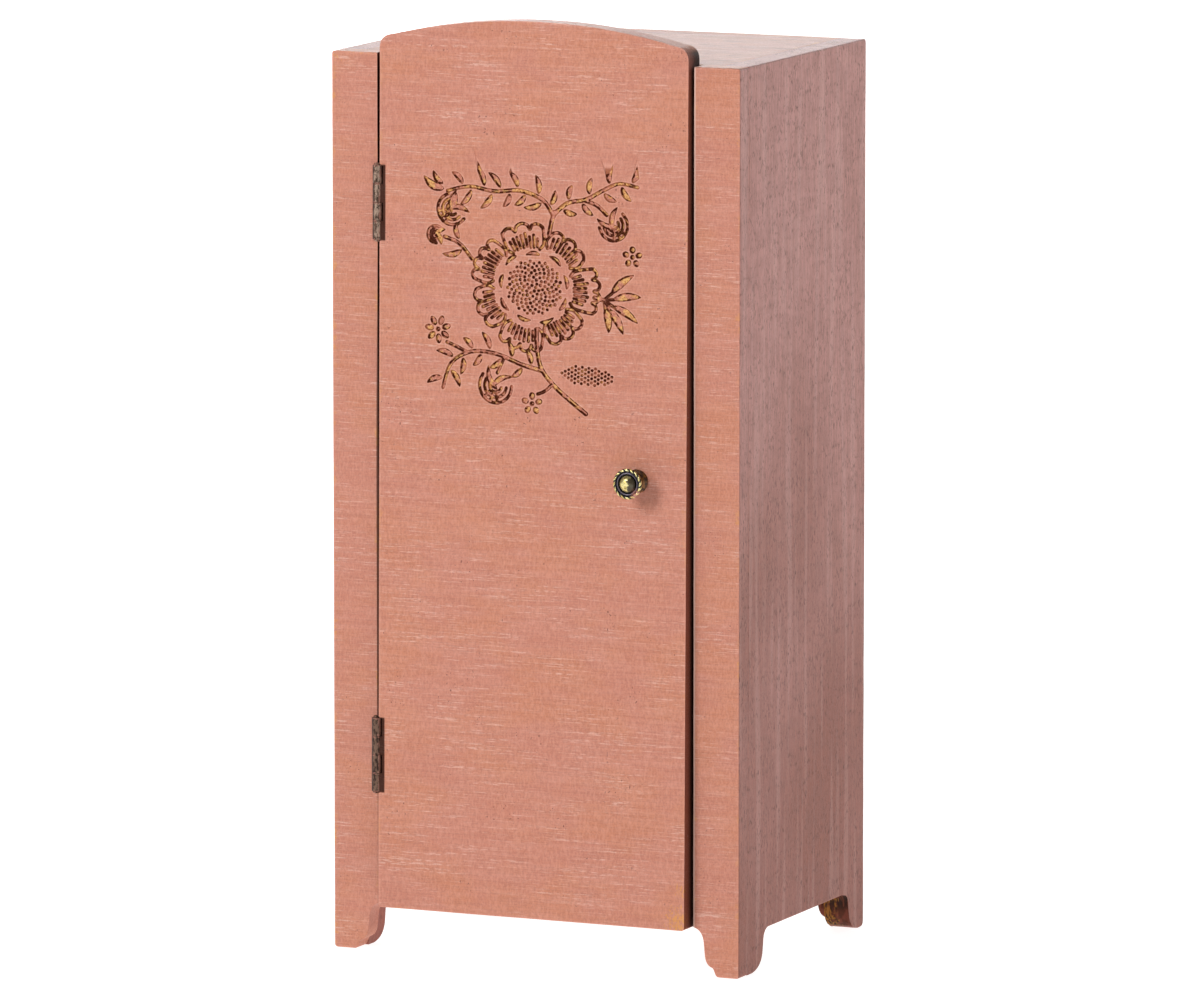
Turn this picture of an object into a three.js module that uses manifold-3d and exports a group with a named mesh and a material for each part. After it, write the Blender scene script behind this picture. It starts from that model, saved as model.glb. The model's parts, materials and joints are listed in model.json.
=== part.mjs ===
// Dolls-house wardrobe: a glued board carcass on shaped feet, closed by one arched door on two
// small butt hinges. Millimetres, +Z up, the front faces -Y, the door is hung on the -X side.
import * as THREE from 'three';
import { mergeVertices } from 'three/addons/utils/BufferGeometryUtils.js';
import Module from 'manifold-3d';

// ---- driving dimensions -------------------------------------------------------------------
const WIDTH = 98.3; // over the side panels
const DEPTH = 71.6; // stile face to back
const CARCASS_TOP = 201.5;
const BOARD = 6; // side, top and bottom boards
const STILE_WIDTH = 11.1;
const STILE_DEPTH = 5;
const BACK_THICKNESS = 4;
const GLUE_LINE = 0.02; // between boards that are glued together
const EASED = 0.8; // rounding of a stile's and a foot's outer corners

const APRON_HEIGHT = 9; // lower edge of the side panels between the feet
const ANKLE = 8.3; // width of a foot where it is straight
const COVE_TOP = 10.8; // where a stile widens to its full width

const BOTTOM_BOARD_BASE = 10;
const SHELF_BASE = 158;
const SHELF_THICKNESS = 4;
const SHELF_SETBACK = 3; // behind the carcass front
const RAIL_RADIUS = 2;
const RAIL_HEIGHT = 149;
const RAIL_SOCKET = 3; // depth of the blind holes that hold the rail
const SOCKET_PLAY = 0.15;

const DOOR_LEFT = 12.35;
const DOOR_RIGHT = 86.6;
const DOOR_BASE = 10.5;
const DOOR_TOP = 210; // top of the arch
const DOOR_THICKNESS = 6;
const DOOR_ARCH_RADIUS = 144;
const DOOR_SHOULDER = 3.2; // rounding where the arch meets the sides
const DOOR_HEEL = 0.8; // rounding of the lower corners

const HINGE_X = 11.55;
const HINGE_Y_AT_FLOOR = -2.86;
const DOOR_LEAN = THREE.MathUtils.degToRad(0.6); // the door hangs with its foot forward
const AXIS_BEHIND_FACE = 0.65; // hinge axis to the door's front face
const HINGE_CENTRES = { upper: 168.4, lower: 44.8 };
const HINGE_HEIGHT = 16.6;
const KNUCKLES = 4;
const KNUCKLE_GAP = 0.1;
const BARREL_RADIUS = 1.1;
const BARREL_PLAY = 0.1;
const PIN_RADIUS = 0.45;
const PIN_BORE_RADIUS = 0.52;
const PIN_HEAD = { radius: 0.85, height: 0.4 };
const LEAF_THICKNESS = 0.4;
const LEAF_DEPTH = 4.5; // hinge axis to the leaf's rear edge
const MORTISE_REACH = 1.6; // hinge axis to the side of the pocket beside a frame knuckle
const MORTISE_DEPTH = 1.4;
const MORTISE_PLAY = 0.3;
const NAIL = { radius: 0.32, length: 3.6, headRadius: 0.7, headHeight: 0.16 };
const NAIL_HOLE_RADIUS = 0.4;
const NAIL_SETBACK = 2.9; // hinge axis to the nails
const NAIL_OFFSETS = { frame: [-5, 5], door: [-3.2, 3.2] };

const KNOB_X = 74.85;
const KNOB_HEIGHT = 109.8;
const KNOB_BORE = { radius: 0.95, depth: 3.4 };
const SCREW = { radius: 0.8, engaged: 2.8, headRadius: 1.8, headHeight: 1.1 };
const WASHER = { inner: 1, outer: 2.4, thickness: 0.4 };
const SEAT_GAP = 0.05; // between a fastener's head and what it clamps

const CATCH = { x: 80, radius: 2, magnetDepth: 2.5, plateDepth: 1.2, play: 0.05 };

const ROUND = 24; // sides of a turned piece
const SMALL_ROUND = 12;
const CURVE_STEPS = 6; // segments along each curve of an outline
const ARCH_STEPS = 12; // the same for the door, whose arch is long

// ---- materials ----------------------------------------------------------------------------
const paint = (color) => new THREE.MeshStandardMaterial({ color, roughness: 0.62, metalness: 0 });
const metal = (color, roughness) =>
  new THREE.MeshStandardMaterial({ color, roughness, metalness: 1 });
const PINK = 0xcd8c77;
const INSIDE_PINK = 0xc58a78;
const BEECH = 0xcfa877;
const OLD_BRASS = 0x8a7a55;
const BRASS = 0xb29a55;
const STEEL = 0x9a9a98;
const NICKEL = 0xb9b7b0;

// ---- solids -------------------------------------------------------------------------------
const wasm = await Module();
wasm.setup();

function toSolid(geometry) {
  const bare = geometry.clone();
  bare.deleteAttribute('normal');
  bare.deleteAttribute('uv');
  const merged = mergeVertices(bare, 1e-4);
  return new wasm.Manifold(
    new wasm.Mesh({
      numProp: 3,
      vertProperties: merged.attributes.position.array,
      triVerts: new Uint32Array(merged.index.array),
    }),
  );
}

function toGeometry(solid) {
  const mesh = solid.getMesh();
  const geometry = new THREE.BufferGeometry();
  geometry.setAttribute('position', new THREE.BufferAttribute(mesh.vertProperties, 3));
  geometry.setIndex(new THREE.BufferAttribute(mesh.triVerts, 1));
  geometry.computeVertexNormals();
  return geometry;
}

const cut = (body, tools) =>
  toGeometry(tools.reduce((solid, tool) => solid.subtract(toSolid(tool)), toSolid(body)));
const join = (bodies) =>
  toGeometry(bodies.map(toSolid).reduce((solid, more) => solid.add(more)));

function block(low, high) {
  const size = high.map((value, i) => value - low[i]);
  const centre = high.map((value, i) => (value + low[i]) / 2);
  return new THREE.BoxGeometry(...size).translate(...centre);
}

// A cylinder along one of the axes 'x', 'y' or 'z', from start towards the positive end.
function rod(along, radius, start, length, sides = SMALL_ROUND) {
  const geometry = new THREE.CylinderGeometry(radius, radius, length, sides);
  if (along === 'x') geometry.rotateZ(-Math.PI / 2);
  if (along === 'z') geometry.rotateX(Math.PI / 2);
  const centre = new THREE.Vector3(...start);
  centre[along] += length / 2;
  return geometry.translate(centre.x, centre.y, centre.z);
}

// A turned piece: profile points are [radius, distance along the axis].
function turned(profile, sides = ROUND) {
  return new THREE.LatheGeometry(profile.map(([r, h]) => new THREE.Vector2(r, h)), sides);
}

// Stands an outline drawn as (x, z) upright, with its thickness running back along +Y.
function uprightFront(outline, thickness, curveSegments) {
  const geometry = new THREE.ExtrudeGeometry(outline, {
    depth: thickness,
    bevelEnabled: false,
    curveSegments,
  });
  return geometry.rotateX(Math.PI / 2).translate(0, thickness, 0);
}

// Stands an outline drawn as (y, z) upright, with its thickness running along +X.
function uprightSide(outline, thickness, curveSegments) {
  const geometry = new THREE.ExtrudeGeometry(outline, {
    depth: thickness,
    bevelEnabled: false,
    curveSegments,
  });
  return geometry.rotateY(Math.PI / 2).rotateX(Math.PI / 2);
}

function piece(name, geometry, material, position = [0, 0, 0]) {
  const mesh = new THREE.Mesh(geometry, material);
  mesh.name = name;
  mesh.position.set(...position);
  return mesh;
}

// ---- carcass ------------------------------------------------------------------------------
// A foot's inner contour, from the floor up to the cove: a toe, a small step, a bulging ankle,
// a straight neck and a cove. x is measured from the piece's outer edge, side is 1 or -1.
function drawStileFoot(outline, origin, side, inset) {
  const at = (x) => origin + side * (x + inset);
  outline.lineTo(at(ANKLE - 3.2), 0);
  outline.bezierCurveTo(at(ANKLE - 2.4), 0.2, at(ANKLE - 2.4), 1.7, at(ANKLE - 1.9), 2);
  outline.bezierCurveTo(at(ANKLE - 0.7), 2.3, at(ANKLE - 0.1), 3.4, at(ANKLE), 5.2);
  outline.lineTo(at(ANKLE + 0.2), COVE_TOP - 3.4);
  outline.bezierCurveTo(
    at(ANKLE + 0.4), COVE_TOP - 1.5, at(ANKLE + 1.1), COVE_TOP - 0.3, at(STILE_WIDTH), COVE_TOP,
  );
}

function stileOutline() {
  const outline = new THREE.Shape();
  outline.moveTo(0, EASED);
  outline.quadraticCurveTo(0, 0, EASED, 0);
  drawStileFoot(outline, 0, 1, 0);
  outline.lineTo(STILE_WIDTH, CARCASS_TOP);
  outline.lineTo(EASED, CARCASS_TOP);
  outline.quadraticCurveTo(0, CARCASS_TOP, 0, CARCASS_TOP - EASED);
  return outline;
}

function mirrored(outline, width) {
  const points = outline.getPoints(CURVE_STEPS).map((p) => new THREE.Vector2(width - p.x, p.y));
  return new THREE.Shape(points.reverse());
}

function stiles(nailHoles) {
  const left = stileOutline();
  const leftBoard = cut(uprightFront(left, STILE_DEPTH, CURVE_STEPS), nailHoles);
  const rightBoard = uprightFront(mirrored(left, STILE_WIDTH), STILE_DEPTH, CURVE_STEPS);
  return [
    piece('stile_left', leftBoard, paint(PINK)),
    piece('stile_right', rightBoard, paint(PINK), [WIDTH - STILE_WIDTH, 0, 0]),
  ];
}

// The side panel's outline as (y, z), the same foot at both ends.
function sideOutline(depth) {
  const neck = ANKLE + 0.5;
  const outline = new THREE.Shape();
  outline.moveTo(0, 0);
  outline.lineTo(3, 0);
  outline.bezierCurveTo(6, 0.3, neck - 0.2, 1.6, neck, 4.6);
  outline.lineTo(neck + 0.3, 6.7);
  outline.bezierCurveTo(neck + 0.6, 8.4, neck + 1.8, APRON_HEIGHT, neck + 3.7, APRON_HEIGHT);
  outline.lineTo(depth - neck - 3.7, APRON_HEIGHT);
  outline.bezierCurveTo(
    depth - neck - 1.8, APRON_HEIGHT, depth - neck - 0.6, 8.4, depth - neck - 0.3, 6.7,
  );
  outline.lineTo(depth - neck, 4.6);
  outline.bezierCurveTo(depth - neck + 0.2, 1.6, depth - 6, 0.3, depth - 3, 0);
  outline.lineTo(depth - 1.5, 0);
  outline.quadraticCurveTo(depth, 0, depth, 1.5);
  outline.lineTo(depth, CARCASS_TOP - EASED);
  outline.quadraticCurveTo(depth, CARCASS_TOP, depth - EASED, CARCASS_TOP);
  outline.lineTo(0, CARCASS_TOP);
  return outline;
}

const CARCASS_FRONT = STILE_DEPTH + GLUE_LINE;
const BACK_FRONT = DEPTH - BACK_THICKNESS;
const INSIDE_LEFT = BOARD + GLUE_LINE;
const INSIDE_RIGHT = WIDTH - BOARD - GLUE_LINE;
const RAIL_Y = (CARCASS_FRONT + BACK_FRONT) / 2;

function sidePanels() {
  const panel = uprightSide(sideOutline(DEPTH - CARCASS_FRONT), BOARD, CURVE_STEPS);
  const socketRadius = RAIL_RADIUS + SOCKET_PLAY;
  const socketY = RAIL_Y - CARCASS_FRONT;
  const socket = (x) =>
    rod('x', socketRadius, [x, socketY, RAIL_HEIGHT], 2 * RAIL_SOCKET, ROUND);
  const left = cut(panel, [socket(BOARD - RAIL_SOCKET)]);
  const right = cut(panel, [socket(-RAIL_SOCKET)]);
  return [
    piece('side_panel_left', left, paint(PINK), [0, CARCASS_FRONT, 0]),
    piece('side_panel_right', right, paint(PINK), [WIDTH - BOARD, CARCASS_FRONT, 0]),
  ];
}

function flatBoard(name, front, base, thickness, material, holes = []) {
  const low = [INSIDE_LEFT, front, base];
  const high = [INSIDE_RIGHT, BACK_FRONT - GLUE_LINE, base + thickness];
  const board = block(low, high);
  return piece(name, holes.length ? cut(board, holes) : board, material);
}

const CATCH_HEIGHT = CARCASS_TOP - BOARD / 2;

function topBoard() {
  const pocket = rod(
    'y', CATCH.radius + CATCH.play, [CATCH.x, CARCASS_FRONT - 1, CATCH_HEIGHT],
    CATCH.magnetDepth + 1, ROUND,
  );
  return flatBoard(
    'top_board', CARCASS_FRONT, CARCASS_TOP - BOARD, BOARD, paint(PINK), [pocket],
  );
}

function catchMagnet() {
  const disc = rod('y', CATCH.radius, [0, 0, 0], CATCH.magnetDepth - CATCH.play, ROUND);
  return piece('catch_magnet', disc, metal(NICKEL, 0.3), [CATCH.x, CARCASS_FRONT, CATCH_HEIGHT]);
}

function backPanel() {
  const outline = new THREE.Shape();
  const inset = 1.3; // the rear feet are a little wider than the front ones
  outline.moveTo(INSIDE_LEFT, 0);
  drawStileFoot(outline, 0, 1, inset);
  outline.lineTo(WIDTH - STILE_WIDTH - inset, COVE_TOP);
  const right = new THREE.Shape();
  right.moveTo(INSIDE_LEFT, 0);
  drawStileFoot(right, 0, 1, inset);
  for (const p of right.getPoints(CURVE_STEPS).reverse().slice(1)) {
    outline.lineTo(WIDTH - p.x, p.y);
  }
  outline.lineTo(INSIDE_RIGHT, CARCASS_TOP);
  outline.lineTo(INSIDE_LEFT, CARCASS_TOP);
  const board = uprightFront(outline, BACK_THICKNESS, CURVE_STEPS);
  return piece('back_panel', board, paint(PINK), [0, BACK_FRONT, 0]);
}

function hangingRail() {
  const start = BOARD - RAIL_SOCKET + SEAT_GAP;
  const length = WIDTH - 2 * start;
  const dowel = rod('x', RAIL_RADIUS, [0, 0, 0], length, ROUND);
  return piece('hanging_rail', dowel, paint(BEECH), [start, RAIL_Y, RAIL_HEIGHT]);
}

// ---- hinges -------------------------------------------------------------------------------
// Everything below is drawn about the hinge axis: x to the right, y back, z up from the floor.
const FRAME_EDGE = STILE_WIDTH - HINGE_X; // inner edge of the left stile
const DOOR_EDGE = DOOR_LEFT - HINGE_X;
const KNUCKLE_PITCH = HINGE_HEIGHT / KNUCKLES;

// Knuckles are counted from the top: 0 and 2 are the frame's, 1 and 3 the door's.
const knuckleBase = (centre, index) => centre + HINGE_HEIGHT / 2 - (index + 1) * KNUCKLE_PITCH;

function hingeLeaf(centre, edge, firstKnuckle, nailOffsets) {
  const base = centre - HINGE_HEIGHT / 2;
  const side = Math.sign(edge);
  const faces = [edge, edge - side * LEAF_THICKNESS].sort((a, b) => a - b);
  const gap = GLUE_LINE * side;
  const plate = block(
    [faces[0] - gap, 0, base + KNUCKLE_GAP / 2],
    [faces[1] - gap, LEAF_DEPTH, base + HINGE_HEIGHT - KNUCKLE_GAP / 2],
  );
  const own = [0, 1].map((pair) => {
    const start = knuckleBase(centre, firstKnuckle + 2 * pair) + KNUCKLE_GAP / 2;
    return rod('z', BARREL_RADIUS, [0, 0, start], KNUCKLE_PITCH - KNUCKLE_GAP, ROUND);
  });
  const others = [0, 1].map((pair) => {
    const start = knuckleBase(centre, 1 - firstKnuckle + 2 * pair) - KNUCKLE_GAP / 2;
    const radius = BARREL_RADIUS + BARREL_PLAY;
    return rod('z', radius, [0, 0, start], KNUCKLE_PITCH + KNUCKLE_GAP, ROUND);
  });
  const bore = rod('z', PIN_BORE_RADIUS, [0, 0, base - 1], HINGE_HEIGHT + 2, ROUND);
  const nailHoles = nailOffsets.map((offset) =>
    rod('x', NAIL_HOLE_RADIUS, [edge - 1, NAIL_SETBACK, centre + offset], 2),
  );
  const plateAroundOthers = cut(plate, others);
  return cut(join([plateAroundOthers, ...own]), [bore, ...nailHoles]);
}

function hingePin() {
  const half = HINGE_HEIGHT / 2 + SEAT_GAP;
  const { radius, height } = PIN_HEAD;
  const profile = [
    [0, -half - height], [radius * 0.7, -half - height], [radius, -half - height * 0.5],
    [radius, -half], [PIN_RADIUS, -half], [PIN_RADIUS, half],
    [radius, half], [radius, half + height * 0.5], [radius * 0.7, half + height],
    [0, half + height],
  ];
  return turned(profile, SMALL_ROUND).rotateX(Math.PI / 2);
}

// A nail along the x axis: its head's underside is at x = 0 and its point towards +x.
function nail() {
  const { radius, length, headRadius, headHeight } = NAIL;
  const profile = [
    [0, -headHeight], [headRadius * 0.6, -headHeight], [headRadius, 0],
    [radius, 0], [radius, length - 0.8], [0, length],
  ];
  return turned(profile, SMALL_ROUND).rotateZ(-Math.PI / 2);
}

const nailHole = (x, height) =>
  rod('x', NAIL_HOLE_RADIUS, [x, NAIL_SETBACK, height], NAIL.length + 1);

function hinge(which) {
  const centre = HINGE_CENTRES[which];
  const leaves = { frame: [FRAME_EDGE, 0], door: [DOOR_EDGE, 1] };
  const pieces = [];
  for (const [side, [edge, firstKnuckle]] of Object.entries(leaves)) {
    const direction = Math.sign(edge);
    const leaf = hingeLeaf(centre, edge, firstKnuckle, NAIL_OFFSETS[side]);
    pieces.push(piece(`${which}_hinge_${side}_leaf`, leaf, metal(OLD_BRASS, 0.45)));
    const headSeat = edge - direction * (LEAF_THICKNESS + GLUE_LINE + 0.01);
    NAIL_OFFSETS[side].forEach((offset, i) => {
      const name = `${which}_hinge_${side}_nail_${i + 1}`;
      const one = piece(name, nail(), metal(OLD_BRASS, 0.4), [
        headSeat, NAIL_SETBACK, centre + offset,
      ]);
      if (direction < 0) one.rotation.z = Math.PI;
      pieces.push(one);
    });
  }
  pieces.push(piece(`${which}_hinge_pin`, hingePin(), metal(OLD_BRASS, 0.4), [0, 0, centre]));
  return pieces;
}

// ---- door ---------------------------------------------------------------------------------
const DOOR_FACE = -AXIS_BEHIND_FACE;
const DOOR_BACK = DOOR_FACE + DOOR_THICKNESS;

function doorOutline() {
  const left = DOOR_EDGE;
  const right = DOOR_RIGHT - HINGE_X;
  const middle = (left + right) / 2;
  const archAt = (x) =>
    DOOR_TOP - DOOR_ARCH_RADIUS + Math.sqrt(DOOR_ARCH_RADIUS ** 2 - (x - middle) ** 2);
  const shoulder = archAt(left + DOOR_SHOULDER);
  const spread = Math.asin((middle - left - DOOR_SHOULDER) / DOOR_ARCH_RADIUS);
  const outline = new THREE.Shape();
  outline.moveTo(left, DOOR_BASE + DOOR_HEEL);
  outline.quadraticCurveTo(left, DOOR_BASE, left + DOOR_HEEL, DOOR_BASE);
  outline.lineTo(right - DOOR_HEEL, DOOR_BASE);
  outline.quadraticCurveTo(right, DOOR_BASE, right, DOOR_BASE + DOOR_HEEL);
  outline.lineTo(right, shoulder - DOOR_SHOULDER);
  outline.quadraticCurveTo(right, shoulder - 0.3, right - DOOR_SHOULDER, shoulder);
  outline.absarc(
    middle, DOOR_TOP - DOOR_ARCH_RADIUS, DOOR_ARCH_RADIUS,
    Math.PI / 2 - spread, Math.PI / 2 + spread, false,
  );
  outline.quadraticCurveTo(left, shoulder - 0.3, left, shoulder - DOOR_SHOULDER);
  return outline;
}

// The pocket for one hinge in the door's edge: room for the barrel, and more beside the
// frame's two knuckles.
function hingeMortise(centre) {
  const base = centre - HINGE_HEIGHT / 2 - MORTISE_PLAY;
  const height = HINGE_HEIGHT + 2 * MORTISE_PLAY;
  const radius = BARREL_RADIUS + BARREL_PLAY;
  const barrel = rod('z', radius, [0, 0, base], height, ROUND);
  const pockets = [0, 2].map((index) => {
    const low = knuckleBase(centre, index);
    return block([0, DOOR_FACE - 1, low], [MORTISE_REACH, MORTISE_DEPTH, low + KNUCKLE_PITCH]);
  });
  return [barrel, ...pockets];
}

function doorPanel() {
  const knobX = KNOB_X - HINGE_X;
  const knobHole = rod(
    'y', KNOB_BORE.radius, [knobX, DOOR_FACE - 1, KNOB_HEIGHT], DOOR_THICKNESS + 2, ROUND,
  );
  const plateHole = rod(
    'y', CATCH.radius + CATCH.play, [CATCH.x - HINGE_X, DOOR_BACK - CATCH.plateDepth, CATCH_HEIGHT],
    CATCH.plateDepth + 1, ROUND,
  );
  const nails = Object.values(HINGE_CENTRES).flatMap((centre) =>
    NAIL_OFFSETS.door.map((offset) => nailHole(DOOR_EDGE - 1, centre + offset)),
  );
  const mortises = Object.values(HINGE_CENTRES).flatMap(hingeMortise);
  const board = uprightFront(doorOutline(), DOOR_THICKNESS, ARCH_STEPS).translate(0, DOOR_FACE, 0);
  return piece(
    'door_panel', cut(board, [knobHole, plateHole, ...nails, ...mortises]), paint(PINK),
  );
}

// Turned knob with a flared neck, a raised rope rim and a domed centre, standing out along -Y.
function knob() {
  const profile = [
    [0, 0], [2.45, 0], [2.45, 0.5], [2, 0.9], [1.6, 1.7], [1.7, 2.6], [2.3, 3.6],
    [3.1, 4.4], [3.45, 5], [3.45, 5.5], [3, 5.9], [2.3, 5.8], [1.9, 5.4], [1.6, 5.9],
    [0.9, 6.35], [0, 6.45],
  ];
  const body = turned(profile).rotateX(Math.PI);
  const bore = rod('y', KNOB_BORE.radius, [0, -KNOB_BORE.depth, 0], KNOB_BORE.depth + 1);
  return piece('knob', cut(body, [bore]), metal(BRASS, 0.35), [
    KNOB_X - HINGE_X, DOOR_FACE - SEAT_GAP, KNOB_HEIGHT,
  ]);
}

// Pan-headed machine screw from inside the door, its shank along -Y into the knob.
function knobScrew() {
  const shank = SCREW.engaged + DOOR_THICKNESS + WASHER.thickness + 2 * SEAT_GAP;
  const { radius, headRadius, headHeight } = SCREW;
  const profile = [
    [0, 0], [radius, 0], [radius, shank], [headRadius, shank],
    [headRadius, shank + headHeight * 0.5], [headRadius * 0.65, shank + headHeight],
    [0, shank + headHeight],
  ];
  const slot = block([-headRadius, 0, -0.25], [headRadius, 1, 0.25]);
  const body = turned(profile).translate(0, -shank, 0);
  return piece(
    'knob_screw', cut(body, [slot.translate(0, headHeight - 0.5, 0)]), metal(STEEL, 0.35),
    [KNOB_X - HINGE_X, DOOR_BACK + WASHER.thickness + 2 * SEAT_GAP, KNOB_HEIGHT],
  );
}

function knobWasher() {
  const { inner, outer, thickness } = WASHER;
  const ring = [[inner, 0], [outer, 0], [outer, thickness], [inner, thickness], [inner, 0]];
  return piece('knob_washer', turned(ring), metal(STEEL, 0.35), [
    KNOB_X - HINGE_X, DOOR_BACK + SEAT_GAP, KNOB_HEIGHT,
  ]);
}

function catchPlate() {
  const depth = CATCH.plateDepth - CATCH.play;
  const disc = rod('y', CATCH.radius, [0, 0, 0], depth, ROUND);
  return piece('catch_plate', disc, metal(STEEL, 0.4), [
    CATCH.x - HINGE_X, DOOR_BACK - depth, CATCH_HEIGHT,
  ]);
}

// ---- assembly -----------------------------------------------------------------------------
const hingeLine = new THREE.Group();
hingeLine.position.set(HINGE_X, HINGE_Y_AT_FLOOR, 0);
hingeLine.rotation.x = -DOOR_LEAN;
hingeLine.updateMatrix();
hingeLine.add(
  doorPanel(), knob(), knobScrew(), knobWasher(), catchPlate(),
  ...hinge('upper'), ...hinge('lower'),
);

const stileNailHoles = Object.values(HINGE_CENTRES).flatMap((centre) =>
  NAIL_OFFSETS.frame.map((offset) =>
    nailHole(FRAME_EDGE - NAIL.length, centre + offset).applyMatrix4(hingeLine.matrix),
  ),
);

const cabinet = new THREE.Group();
cabinet.add(
  ...sidePanels(),
  ...stiles(stileNailHoles),
  topBoard(),
  flatBoard('bottom_board', CARCASS_FRONT, BOTTOM_BOARD_BASE, BOARD, paint(INSIDE_PINK)),
  flatBoard(
    'shelf', CARCASS_FRONT + SHELF_SETBACK, SHELF_BASE, SHELF_THICKNESS, paint(INSIDE_PINK),
  ),
  backPanel(),
  hangingRail(),
  catchMagnet(),
  hingeLine,
);

// The origin is on the floor, in the middle of the whole wardrobe's outline.
const bounds = new THREE.Box3().setFromObject(cabinet, true);
const middle = bounds.getCenter(new THREE.Vector3());
cabinet.position.set(-middle.x, -middle.y, -bounds.min.z);

const wardrobe = new THREE.Group();
wardrobe.add(cabinet);
export default wardrobe;
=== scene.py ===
"""Looks of a dolls-house wardrobe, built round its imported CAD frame. Blender works in metres. Sizes and
places here are in millimetres, turned into metres by MM, except those of the camera and the lights."""
import json
import math

import bmesh
import bpy
import numpy as np
from mathutils import Matrix, Vector, geometry, noise


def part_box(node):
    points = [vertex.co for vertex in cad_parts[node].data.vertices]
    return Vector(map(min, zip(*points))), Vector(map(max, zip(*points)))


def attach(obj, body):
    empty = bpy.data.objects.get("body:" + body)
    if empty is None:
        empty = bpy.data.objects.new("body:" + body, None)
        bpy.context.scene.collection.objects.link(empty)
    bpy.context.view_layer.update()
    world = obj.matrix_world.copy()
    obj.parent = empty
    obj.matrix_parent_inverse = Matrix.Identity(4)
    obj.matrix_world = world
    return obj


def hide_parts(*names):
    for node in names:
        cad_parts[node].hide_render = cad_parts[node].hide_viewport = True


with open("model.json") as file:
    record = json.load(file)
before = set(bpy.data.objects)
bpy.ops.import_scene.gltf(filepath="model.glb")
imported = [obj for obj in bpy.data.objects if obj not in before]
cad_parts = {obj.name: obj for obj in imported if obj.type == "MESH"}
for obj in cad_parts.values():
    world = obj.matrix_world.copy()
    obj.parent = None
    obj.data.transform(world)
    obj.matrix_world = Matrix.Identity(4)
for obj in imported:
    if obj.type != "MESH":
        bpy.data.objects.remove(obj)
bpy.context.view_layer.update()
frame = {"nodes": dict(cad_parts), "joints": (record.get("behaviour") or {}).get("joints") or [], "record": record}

MM = 0.001

# ---- the object's own measures, in millimetres ----------------------------------------------
WELD = 0.001
SEAM_ROUNDING = 0.09  # edges that meet another board
CORNER_ROUNDING = 0.32
DOOR_ROUNDING = 0.5
HINGE_EDGE_ROUNDING = 0.15  # the door's edge on its hinge side
HAND_WOBBLE = 0.035  # unevenness of sanded and painted boards
GRID_STEP = 6.0  # spacing of the extra vertices that carry it
APRON_HEIGHT = 10.0  # about how high the boards are cut away between their feet
HINGES = ("upper", "lower")


def hinge_frame():
    """The door's own frame: origin on the hinge line, x to the right, y back, z up the line."""
    joint = frame["joints"][0]
    up = -Vector(joint["axis"]).normalized()
    right = Vector((1, 0, 0))
    back = up.cross(right)
    matrix = Matrix((right, back, up)).transposed().to_4x4()
    matrix.translation = Vector(joint["pos_m"])
    return matrix


DOOR_FRAME = hinge_frame()


def box_mm(node):
    low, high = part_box(node)
    return tuple(low / MM), tuple(high / MM)


def middle_in_door(node):
    """The middle of a node's box, in the door's own frame."""
    low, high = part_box(node)
    return DOOR_FRAME.inverted() @ ((low + high) / 2) / MM


def door_box():
    """The door panel's lowest and highest corner, in the door's own frame."""
    to_local = DOOR_FRAME.inverted()
    places = np.array([to_local @ v.co / MM for v in frame["nodes"]["door_panel"].data.vertices])
    return Vector(places.min(0)), Vector(places.max(0))


DOOR_LOW, DOOR_HIGH = door_box()


# ---- camera, light and floor -----------------------------------------------------------------
AZIMUTH = math.radians(23.89)  # the camera's, to the right of the front
ELEVATION = math.radians(8.193)
DISTANCE = 2.4628
TARGET = Vector((-0.00013, 0.00443, 0.09913))
FOCAL_LENGTH, FILM_WIDTH = 330.2, 36


def add_camera():
    data = bpy.data.cameras.new("camera")
    data.lens = FOCAL_LENGTH
    data.sensor_width = FILM_WIDTH
    data.clip_start = 0.1
    data.clip_end = 50
    camera = bpy.data.objects.new("camera", data)
    level = math.cos(ELEVATION)
    away = Vector((level * math.sin(AZIMUTH), -level * math.cos(AZIMUTH), math.sin(ELEVATION)))
    camera.location = TARGET + DISTANCE * away
    camera.rotation_euler = (-away).to_track_quat("-Z", "Y").to_euler()
    bpy.context.scene.collection.objects.link(camera)
    bpy.context.scene.camera = camera


def add_softbox(name, place, aim, size, power):
    data = bpy.data.lights.new(name, "AREA")
    data.shape = "RECTANGLE"
    data.size, data.size_y = size
    data.energy = power
    light = bpy.data.objects.new(name, data)
    light.location = place
    light.rotation_euler = (Vector(aim) - Vector(place)).to_track_quat("-Z", "Y").to_euler()
    bpy.context.scene.collection.objects.link(light)


def add_studio():
    add_softbox("key", (-0.85, -1.9, 1.25), (0, 0, 0.1), (0.9, 1.2), 34.4)
    add_softbox("rear_left", (-1.0, 2.0, 0.6), (0, 0, 0.15), (1.6, 0.9), 31)
    add_softbox("rear_right", (0.6, 1.3, 0.6), (0, 0, 0.15), (0.5, 0.6), 5)
    add_surroundings(dim=0.1, white=1.2)


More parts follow.
